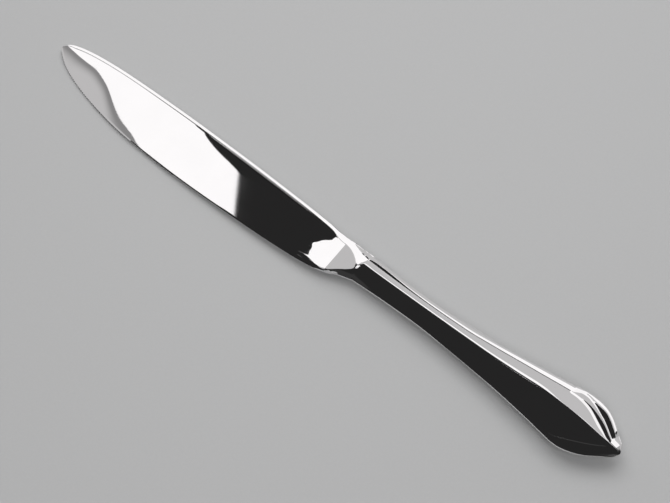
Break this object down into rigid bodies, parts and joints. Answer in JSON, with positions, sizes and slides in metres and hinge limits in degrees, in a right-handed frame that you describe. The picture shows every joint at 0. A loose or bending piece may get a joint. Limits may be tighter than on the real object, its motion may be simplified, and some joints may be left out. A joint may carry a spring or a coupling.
{
  "type": "table knife",
  "caption": "Table knife with a rounded point, a bolster between blade and handle, and a ridged hollow handle that widens to a pointed end; for cutting food at the table.",
  "frame": {"origin": "under the middle of the whole knife, at the level of the handle's lower ridge", "axes": "+X along the knife from the point to the end of the handle, +Y from the cutting edge to the spine, +Z square to the plane of the blade, out of its upper flank"},
  "size_m": [0.235, 0.0223, 0.01],
  "materials": {
    "blade_steel": "mirror-polished stainless steel",
    "handle_steel": "mirror-polished stainless steel",
    "braze": "ground flush and polished",
    "filler": "dull cast cement"
  },
  "bodies": {
    "root": {"blade": "blade_steel", "handle_shell_upper": "handle_steel", "handle_shell_lower": "handle_steel", "seam_braze": "braze", "cement_core": "filler"}
  },
  "joints": []
}
